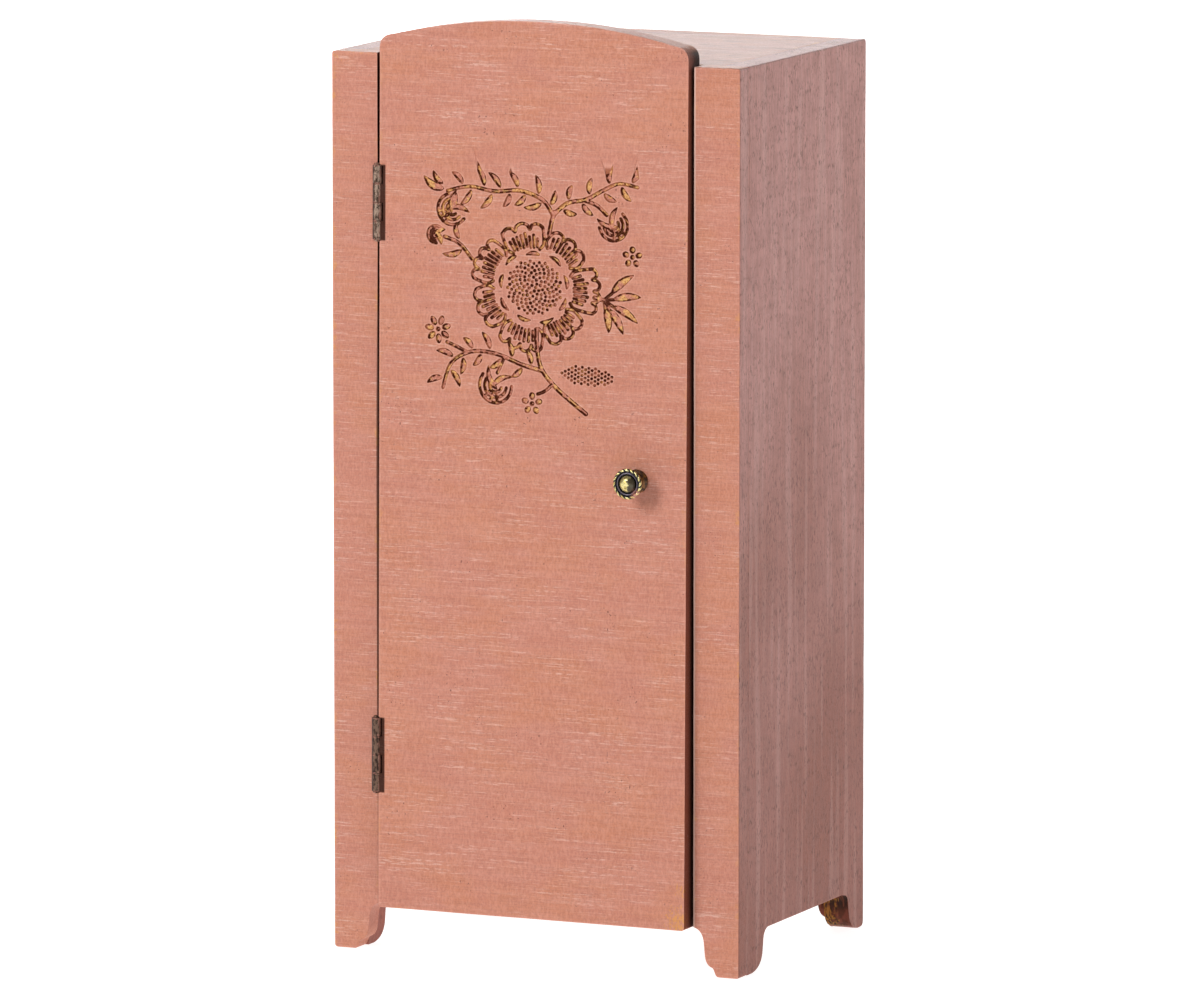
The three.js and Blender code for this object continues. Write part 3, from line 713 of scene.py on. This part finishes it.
# ---- the engraved spray ---------------------------------------------------------------------
ENGRAVED_CENTRE = (37.7, 49.6)  # in the door's frame: across from the hinge line, up
ENGRAVED_SIDE = 54.0  # the square of the door's face that holds the spray
ENGRAVED_CELL = 0.125  # finest spacing of its vertices
CELL_LEVELS = (16, 8, 4, 2, 1)  # cell sizes, in finest spacings
GROOVE_DEPTH = 0.38
GROOVE_WALL = 0.2  # how far in from its edge a groove reaches full depth
FILL_STEP = 5.0  # spacing of the other vertices on the door's face
FILL_CLEARANCE = 2.0  # how near they come to an outline
STEM, OUTLINE, HATCH, DOT = 0.5, 0.36, 0.28, 0.31  # half widths of the cuts


def smooth_line(points, steps=6):
    """A Catmull-Rom line through given points of any dimension."""
    knots = np.array([points[0], *points, points[-1]], float)
    t = np.linspace(0, 1, steps, endpoint=False)[:, None]
    spans = []
    for a, b, c, d in zip(knots, knots[1:], knots[2:], knots[3:]):
        spans.append(0.5 * (2 * b + (c - a) * t + (2 * a - 5 * b + 4 * c - d) * t**2
                            + (3 * b - 3 * c + d - a) * t**3))
    return np.vstack([*spans, knots[-1:]])


FLATTENING = np.array([1, 0.93])  # the open flower is wider than it is tall
SEEDS_FLATTENING = np.array([1, 0.9])


def heading(turn):
    return np.array([math.cos(turn), math.sin(turn)])


class Spray:
    """A generic floral spray, as cuts: each is a chain of (across, up, half width) points in mm."""

    def __init__(self, seed):
        self.cuts = []
        self.random = np.random.default_rng(seed)

    def line(self, points, radius, end_radius=None):
        path = smooth_line(points)
        radii = np.linspace(radius, radius if end_radius is None else end_radius, len(path))
        self.cuts.append(np.column_stack([path, radii]))
        return path

    def dot(self, centre, radius=DOT):
        self.cuts.append(np.array([[*centre, radius], [centre[0] + 0.05, centre[1], radius]]))

    def leaf(self, base, tip, width, bend=0.12):
        """A lens-shaped recess with a bowed spine."""
        base, tip = np.array(base, float), np.array(tip, float)
        t = np.linspace(0, 1, 12)
        side = np.array([base[1] - tip[1], tip[0] - base[0]])
        spine = base + np.outer(t, tip - base) + np.outer(bend * np.sin(np.pi * t), side)
        radii = 0.12 + (width / 2 - 0.12) * np.sin(np.pi * t**0.85) ** 0.8
        self.cuts.append(np.column_stack([spine, radii]))

    def sprig(self, points, leaf_length, count, start=0.12, end=0.95, width=1.4):
        """A stem with leaves standing off it on both sides in turn."""
        path = self.line(points, STEM, STEM * 0.75)
        for i, share in enumerate(np.linspace(start, end, count)):
            k = int(share * (len(path) - 2))
            ahead = path[k + 1] - path[k]
            angle = math.atan2(ahead[1], ahead[0]) + (0.95 if i % 2 else -0.95)
            away = heading(angle)
            length = leaf_length * self.random.uniform(0.8, 1.15)
            base = path[k] + 1.05 * away
            self.leaf(base, base + length * away, width, 0.1 if i % 2 else -0.1)

    def petal(self, centre, angle, spread, inner, outer, lobes=3):
        """A scalloped petal with hatching inside its rim."""
        def at(turn, radius):
            return centre + radius * FLATTENING * heading(turn)
        rim = []
        for t in np.linspace(-1, 1, 8 * lobes + 1):
            scallop = abs(math.cos(math.pi * lobes / 2 * (t + 1) + math.pi / 2)) ** 0.55
            rim.append(at(angle + 0.94 * spread * t, outer - 1.7 + 1.5 * scallop - 0.6 * t * t))
        sides = [
            [at(angle + k * spread * 0.86, inner + 0.2), at(angle + k * spread * 1.02, inner + 1.8)]
            for k in (-1, 1)
        ]
        self.line([*sides[0], *rim[1:-1], *sides[1][::-1]], OUTLINE)
        count = 8
        for i in range(count):
            t = (i + 0.5) / count * 2 - 1
            turn = angle + 0.8 * spread * t
            start = inner + 0.6 + self.random.uniform(-0.2, 0.2)
            reach = 3.0 - 1.0 * t * t + self.random.uniform(-0.4, 0.4)
            self.line([at(turn, start), at(turn + 0.01, start + reach)], HATCH, HATCH * 1.25)

    def blossom(self, centre):
        petals = 7
        for i in range(petals):
            angle = math.radians(102) + i * 2 * math.pi / petals
            inner = 9.3 + self.random.uniform(-0.4, 0.5)
            outer = 15.5 + self.random.uniform(-0.8, 0.9)
            self.petal(centre, angle, math.pi / petals * 0.93, inner, outer, 3 + i % 2)
        for i in range(9):
            turn = 2 * math.pi * (i + 0.3) / 9
            radius = 7.9 + 0.5 * (i % 2)
            ends = [centre + radius * FLATTENING * heading(a) for a in (turn - 0.2, turn + 0.2)]
            self.leaf(*ends, 1.0, -0.12)
        golden = math.pi * (3 - math.sqrt(5))
        seeds = 140
        for i in range(seeds):
            radius = 6.7 * math.sqrt((i + 0.5) / seeds)
            self.dot(centre + radius * SEEDS_FLATTENING * heading(i * golden), DOT + 0.02 * (i % 3))

    def daisy(self, centre, petals=7, radius=2.25):
        self.dot(centre, 0.5)
        for i in range(petals):
            turn = 2 * math.pi * i / petals + 0.3
            way = heading(turn)
            self.leaf(centre + 1.25 * way, centre + (radius + 0.8) * way, 1.35, 0)

    def bud(self, centre, direction, size):
        """A half-open flower: nested arcs over a two-leaved cup."""
        centre = np.array(centre, float)
        for share in (1, 0.68, 0.38):
            turns = np.radians(direction) + np.linspace(-1.9, 1.9, 9) * (0.75 + 0.25 * share)
            self.line([centre + size * share * heading(a) for a in turns], OUTLINE * 0.95)
        for lean in (-0.45, 0, 0.45):
            way = heading(math.radians(direction) + lean)
            self.line([centre + 0.48 * size * way, centre + 0.9 * size * way], HATCH, HATCH * 1.3)
        for lean in (2.4, -2.4):
            tip = centre + (size + 0.6) * heading(math.radians(direction) + lean)
            self.leaf(centre - 0.2 * (tip - centre), tip, 1.3, 0.15)

    def stippled_leaf(self, base, tip, width):
        base, tip = np.array(base, float), np.array(tip, float)
        length = np.linalg.norm(tip - base)
        along = (tip - base) / length
        across = np.array([-along[1], along[0]])
        rows = int(width / 0.85)
        for k in range(int(length / 0.8) + 1):
            t = min(k * 0.8 / length, 1)
            half = width / 2 * math.sin(math.pi * min(t * 0.96 + 0.02, 1)) ** 0.7
            for j in range(-rows, rows + 1):
                offset = (j + 0.5 * (k % 2)) * 0.92
                if abs(offset) <= half:
                    self.dot(base + along * t * length + across * offset, DOT * 0.95)


def floral_spray():
    spray = Spray(seed=11)
    spray.blossom((0.6, 1.8))
    spray.line([(1.2, -7.5), (1.4, -11.5), (2.4, -16), (5.6, -19.8), (9.6, -23), (13.2, -25.6)], STEM)
    spray.sprig([(2.6, -16.6), (-2.5, -15.4), (-8.5, -13.4), (-14.5, -13.2), (-19.4, -16),
                 (-21.4, -21.5)], 3.5, 11)
    spray.line([(-15.4, -13.4), (-18.2, -12.2), (-20.4, -11.4)], STEM * 0.8)
    spray.daisy(np.array([-22.6, -8.6]))
    spray.bud((-8.6, -20.4), 250, 3.9)
    spray.line([(-6.6, -14.2), (-7.4, -16), (-8.2, -17.6)], OUTLINE)
    spray.line([(5.2, -19.4), (3.4, -21), (1.6, -21.8)], OUTLINE)
    spray.daisy(np.array([0.2, -24]), 5, 1.5)
    spray.stippled_leaf((7.4, -16.8), (19.6, -17.6), 4.6)
    spray.line([(4.2, 13.6), (4.8, 16.6), (5.4, 18.6)], STEM)
    spray.sprig([(5.2, 17.8), (2.6, 21.2), (-2.8, 23), (-9, 22.6), (-15, 23.4), (-20.4, 22.2)], 3.8, 12)
    spray.bud((-19.2, 18.2), 215, 3.5)
    spray.leaf((-21.4, 22.6), (-26, 25.2), 1.9)
    spray.leaf((-21.6, 23.8), (-23.8, 26.4), 1.3)
    spray.sprig([(5.4, 18.2), (8.6, 20.8), (13, 21.8), (17.2, 24), (21, 25.6), (25.4, 25)], 3.5, 8)
    spray.line([(12.6, 21.6), (15.6, 20.6), (18, 18.6)], STEM * 0.85)
    spray.bud((19.6, 16.4), 300, 3.4)
    spray.daisy(np.array([24.2, 9.6]), 5, 1.3)
    for tip in ((24.4, 5.6), (26.2, 0.8), (25.4, -4.8), (22, -7.4), (18.6, -7.2)):
        heart = np.array([17.4, -0.2])
        start = heart + 0.28 * (np.array(tip) - heart)
        spray.line([heart, start], OUTLINE)
        spray.leaf(start, tip, 1.8, 0.06)
    spray.line([(15.2, 0.2), (17.4, -0.2)], STEM)
    spray.line([(-14.4, 7.4), (-17.4, 10.6), (-21, 12)], STEM * 0.85)
    spray.bud((-23.2, 12.4), 165, 1.9)
    spray.leaf((-17.6, 11.8), (-18.2, 15.2), 1.3)
    spray.leaf((-17, 9.2), (-21.4, 8.2), 1.4)
    return spray.cuts


def cut_depths(cuts):
    """How far inside a cut each point of the fine lattice is, in mm, negative outside."""
    count = round(ENGRAVED_SIDE / ENGRAVED_CELL) + 1
    inside = np.full((count, count), -1.0)
    half = ENGRAVED_SIDE / 2
    for chain in cuts:
        for (ax, ay, ar), (bx, by, br) in zip(chain, chain[1:]):
            reach = max(ar, br) + 0.6
            low_i = max(int((min(ax, bx) - reach + half) / ENGRAVED_CELL), 0)
            low_j = max(int((min(ay, by) - reach + half) / ENGRAVED_CELL), 0)
            high_i = int((max(ax, bx) + reach + half) / ENGRAVED_CELL) + 2
            high_j = int((max(ay, by) + reach + half) / ENGRAVED_CELL) + 2
            window = inside[low_i:high_i, low_j:high_j]
            x = (np.arange(window.shape[0]) + low_i)[:, None] * ENGRAVED_CELL - half
            y = (np.arange(window.shape[1]) + low_j)[None, :] * ENGRAVED_CELL - half
            dx, dy = bx - ax, by - ay
            t = np.clip(((x - ax) * dx + (y - ay) * dy) / max(dx * dx + dy * dy, 1e-9), 0, 1)
            gap = np.hypot(x - ax - t * dx, y - ay - t * dy)
            np.maximum(window, ar + (br - ar) * t - gap, out=window)
    return inside


def engraved_cells(inside):
    """Square cells, fine beside the cuts and coarse elsewhere, as loops of lattice points."""
    near = inside > -0.15
    side = CELL_LEVELS[0]
    todo = [(i, j) for i in range(0, len(near) - 1, side) for j in range(0, len(near) - 1, side)]
    cells = []
    for size in CELL_LEVELS:
        split = []
        for i, j in todo:
            if size > 1 and near[i:i + size + 1, j:j + size + 1].any():
                h = size // 2
                split += [(i, j), (i + h, j), (i, j + h), (i + h, j + h)]
            else:
                cells.append((i, j, size))
        todo = split
    used = np.zeros(near.shape, bool)
    for i, j, size in cells:
        used[i:i + size + 1:size, j:j + size + 1:size] = True
    loops = []
    for i, j, size in cells:
        if size == 1:
            loops.append([(i, j), (i + 1, j), (i + 1, j + 1), (i, j + 1)])
            continue
        steps = range(size)
        walk = ([(i + k, j) for k in steps] + [(i + size, j + k) for k in steps]
                + [(i + size - k, j + size) for k in steps] + [(i, j + size - k) for k in steps])
        loops.append([point for point in walk if used[point]])
    return used, loops


def boundary_loops(bm):
    """Closed chains of vertices round the mesh's openings."""
    following = {}
    for edge in bm.edges:
        if len(edge.link_faces) == 1:
            loop = edge.link_loops[0]
            following[loop.link_loop_next.vert] = loop.vert
    loops = []
    while following:
        start, vert = following.popitem()
        chain = [start]
        while vert is not start:
            chain.append(vert)
            vert = following.pop(vert)
        loops.append(chain)
    return loops


def inside_polygon(points, polygon):
    x, y = points[:, 0][:, None], points[:, 1][:, None]
    x0, y0 = polygon[:, 0], polygon[:, 1]
    x1, y1 = np.roll(x0, -1), np.roll(y0, -1)
    crosses = (y0 > y) != (y1 > y)
    with np.errstate(divide="ignore", invalid="ignore"):
        left = x < (x1 - x0) * (y - y0) / (y1 - y0) + x0
    return (crosses & left).sum(1) % 2 == 1


def add_engraved_face(bm, face_y, centre):
    """Fills the door's open front with a flat face that carries the engraving."""
    groove = bm.verts.layers.float.new("groove")
    for v in bm.verts:
        v[groove] = -1.0
    openings = boundary_loops(bm)
    border = add_engraved_square(bm, groove, face_y, centre)
    fill_between(bm, groove, face_y, openings, border)


def add_engraved_square(bm, groove, face_y, centre):
    """The square that holds the cuts. Gives the vertices along its border, in order."""
    inside = cut_depths(floral_spray())
    used, loops = engraved_cells(inside)
    half = ENGRAVED_SIDE / 2
    lattice = {}
    for i, j in zip(*np.nonzero(used)):
        x = (centre[0] - half + i * ENGRAVED_CELL) * MM
        z = (centre[1] - half + j * ENGRAVED_CELL) * MM
        depth = inside[i, j]
        t = min(max(depth / GROOVE_WALL, 0), 1)
        lip = 0.03 * math.exp(-(((depth + 0.07) / 0.07) ** 2))
        y = face_y + GROOVE_DEPTH * t * t * (3 - 2 * t) - lip
        v = bm.verts.new((x, y * MM, z))
        v[groove] = depth
        lattice[i, j] = v
    for loop in loops:
        bm.faces.new([lattice[point] for point in loop])
    last = len(used) - 1
    border = ([(k, 0) for k in range(last)] + [(last, k) for k in range(last)]
              + [(last - k, last) for k in range(last)] + [(0, last - k) for k in range(last)])
    return [lattice[point] for point in border if used[point]]


def fill_between(bm, groove, face_y, openings, border):
    """Flat triangles between the face's own outline, its holes and the engraved square."""
    chains = openings + [border]
    verts = [v for chain in chains for v in chain]
    edges, start = [], 0
    for chain in chains:
        n = len(chain)
        edges += [(start + k, start + (k + 1) % n) for k in range(n)]
        start += n
    outlines = [np.array([(v.co.x, v.co.z) for v in chain]) for chain in chains]
    outer = max(range(len(openings)), key=lambda k: np.ptp(outlines[k], axis=0).prod())

    def on_face(points):
        wanted = inside_polygon(points, outlines[outer])
        for k, outline in enumerate(outlines):
            if k != outer:
                wanted &= ~inside_polygon(points, outline)
        return wanted

    low, high = outlines[outer].min(0), outlines[outer].max(0)
    step = FILL_STEP * MM
    spots = np.array([
        (x, z) for x in np.arange(low[0], high[0], step) for z in np.arange(low[1], high[1], step)
    ]) + step / 2
    everything = np.vstack(outlines)
    gaps = np.array([np.hypot(*(everything - spot).T).min() for spot in spots])
    for x, z in spots[on_face(spots) & (gaps > FILL_CLEARANCE * MM)]:
        v = bm.verts.new((x, face_y * MM, z))
        v[groove] = -1.0
        verts.append(v)
    flat = [Vector((v.co.x, v.co.z)) for v in verts]
    made = geometry.delaunay_2d_cdt(flat, edges, [], 0, 1e-9)
    source = [ids[0] for ids in made[3]]
    triangles = np.array([[source[k] for k in face] for face in made[2]])
    centres = np.array([tuple(p) for p in flat])[triangles].mean(1)
    for a, b, c in triangles[on_face(centres)]:
        bm.faces.new((verts[a], verts[b], verts[c]))


def add_door():
    bm = cad_mesh("door_panel", DOOR_FRAME.inverted())
    left, front, foot = DOOR_LOW
    right, back, _ = DOOR_HIGH
    bores = [middle_in_door("catch_plate"), middle_in_door("knob")]

    def corner(m):
        on_face = abs(m.y - front) < 0.01 or abs(m.y - back) < 0.01
        beside_bore = any(math.hypot(m.x - bore.x, m.z - bore.z) < 3 for bore in bores)
        return on_face and m.x > left + 2.5 and not beside_bore

    round_edges(bm, sharp_edges(bm, corner), DOOR_ROUNDING, 4)
    hinge_side = [
        e for e in sharp_edges(bm, lambda m: m.x < left + 0.01)
        if e.calc_length() > 2 * MM and abs(e.verts[0].co.z - e.verts[1].co.z) > 2 * MM
    ]
    round_edges(bm, hinge_side, HINGE_EDGE_ROUNDING, 2)
    fronts = [
        face for face in bm.faces
        if face.normal.y < -0.999 and abs(face.calc_center_median().y / MM - front) < 0.01
    ]
    bmesh.ops.delete(bm, geom=fronts, context="FACES_ONLY")
    slice_up(bm, GRID_STEP)
    add_engraved_face(bm, front, ENGRAVED_CENTRE)
    wobble(bm, HAND_WOBBLE)
    spots = [((right - 1.5, front, foot + 2), 9, 1.0), ((right - 0.3, front, foot + 9), 7, 0.9)]
    material = paint("door_paint", (DOOR_LOW, DOOR_HIGH), "x", DOOR_WEAR, spots, door_colour)
    finish_piece("door_board", bm, material, "door", ["door_panel"], DOOR_FRAME)


KNOB_PROFILE = (  # radius and distance out from the door
    (0, 0), (2.45, 0), (2.45, 0.35), (2.2, 0.55), (1.9, 0.8), (1.62, 1.3), (1.55, 1.9), (1.7, 2.6),
    (2.1, 3.4), (2.7, 4.1), (3.05, 4.5), (3.15, 4.9), (3.0, 5.2), (2.68, 5.25), (2.52, 5.34),
    (2.44, 5.5), (2.3, 5.5), (2.22, 5.3), (2.1, 5.02), (1.97, 4.97), (1.88, 5.2), (1.7, 5.65),
    (1.4, 6.02), (1.0, 6.28), (0.5, 6.41), (0, 6.45),
)
ROPE = {"radius": 3.03, "out": 5.22, "thickness": 0.42, "beads": 16, "twist": 2.0}
ROPE_CREST = math.radians(50)  # where round the rope's section it is rubbed bright
HOLLOW_RADII = (2.06, 2.75)  # middles of the two hollows round the dome
KNOB_SIDES, ROPE_STEPS, ROPE_SIDES = 96, 256, 24


def ring_faces(bm, rows, closed):
    """Joins rows of vertices, each a closed ring, into quads."""
    count = len(rows) if closed else len(rows) - 1
    for a, b in ((rows[k], rows[(k + 1) % len(rows)]) for k in range(count)):
        for k in range(len(a)):
            m = (k + 1) % len(a)
            bm.faces.new((a[k], a[m], b[m], b[k]))


def add_knob():
    """Cast knob: flared cup, rope rim of slanted beads and a domed centre."""
    bm = bmesh.new()
    hollow = bm.verts.layers.float.new("hollow")
    centre = middle_in_door("knob")
    seat = centre.y + (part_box("knob")[1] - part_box("knob")[0]).y / (2 * MM) - 0.02

    def add_vert(radius, turn, out, depth):
        v = bm.verts.new(Vector((
            centre.x + radius * math.cos(turn), seat - out, centre.z + radius * math.sin(turn),
        )) * MM)
        v[hollow] = depth
        return v

    turns = [2 * math.pi * k / KNOB_SIDES for k in range(KNOB_SIDES)]
    profile = smooth_line(KNOB_PROFILE, 4)
    rows = []
    for radius, out in profile[1:-1]:
        recess = max(1 - abs(radius - middle) / 0.3 for middle in HOLLOW_RADII) if out > 4.8 else 0
        rows.append([add_vert(max(radius, 0.001), turn, out, max(recess, 0) * 1.4) for turn in turns])
    ring_faces(bm, rows, closed=False)
    for row, out in ((rows[0], 0), (rows[-1], profile[-1][1])):
        tip = add_vert(0, 0, out, row[0][hollow])
        for a, b in zip(row, row[1:] + row[:1]):
            bm.faces.new((tip, a, b))
    rope_rows = []
    for i in range(ROPE_STEPS):
        turn = 2 * math.pi * i / ROPE_STEPS
        row = []
        for k in range(ROPE_SIDES):
            around = 2 * math.pi * k / ROPE_SIDES
            bead = abs(math.sin((ROPE["beads"] * turn + ROPE["twist"] * around) / 2)) ** 0.7
            thickness = ROPE["thickness"] * (0.62 + 0.38 * bead)
            depth = max(1.25 * (1 - bead), 0.8 * (1 - math.cos(around - ROPE_CREST)))
            row.append(add_vert(ROPE["radius"] + thickness * math.cos(around), turn,
                                ROPE["out"] + thickness * math.sin(around), depth))
        rope_rows.append(row)
    ring_faces(bm, rope_rows, closed=True)
    bmesh.ops.recalc_face_normals(bm, faces=bm.faces)
    material = knob_brass("knob_brass", centre, seat)
    finish_piece("rope_knob", bm, material, "door", ["knob"], DOOR_FRAME)


def add_hardware():
    metals = {}
    tones = {"upper": (srgb(172, 146, 128), srgb(84, 62, 50)),
             "lower": (srgb(122, 94, 78), srgb(52, 34, 26))}
    for hinge, (clean, mottled) in tones.items():
        foot = box_mm(hinge + "_hinge_door_leaf")[0][2]
        head = box_mm(hinge + "_hinge_frame_leaf")[1][2]
        metals[hinge] = hinge_metal(hinge + "_hinge_brass", foot, (head - foot) / 4, clean, mottled)
    for body in ("carcass", "door"):
        for node in frame["record"]["behaviour"]["bodies"][body]:
            if "hinge" not in node:
                continue
            rounding = 0.08 if "leaf" in node else 0.12 if "pin" in node else 0.05
            metal = metals[node.split("_")[0]]
            refined(node, node.replace("_hinge", "") + "_brass", body, metal, rounding)
    zinc = steel("zinc_steel", srgb(186, 184, 180))
    refined("knob_screw", "pan_head_screw", "door", zinc, 0.12)
    refined("knob_washer", "round_washer", "door", zinc, 0.06)
    refined("catch_plate", "steel_disc", "door", zinc, 0.1)
    refined("catch_magnet", "magnet_disc", "carcass", steel("nickel", srgb(214, 210, 202)), 0.15)
    refined("hanging_rail", "turned_rail", "carcass", beech("beech_rail"), 0.3)


def add_floor():
    bm = bmesh.new()
    bmesh.ops.create_grid(bm, x_segments=4, y_segments=4, size=60)
    mesh = bpy.data.meshes.new("floor")
    bm.to_mesh(mesh)
    bm.free()
    f = Finish("floor_white")
    f.set(Base_Color=f.mix(f.noise(400, 1), (0.30, 0.30, 0.30, 1), (0.32, 0.32, 0.32, 1)), Roughness=0.9)
    f.shader.inputs["Emission Color"].default_value = (1, 1, 1, 1)
    f.shader.inputs["Emission Strength"].default_value = 0.92
    mesh.materials.append(f.material)
    floor = bpy.data.objects.new("floor", mesh)
    floor.location.z = -0.02 * MM
    bpy.context.scene.collection.objects.link(floor)


add_camera()
add_studio()
add_floor()
for board, plan in BOARDS.items():
    add_board(board, *plan)
add_door()
add_knob()
add_hardware()

bpy.context.scene.view_settings.view_transform = "Standard"
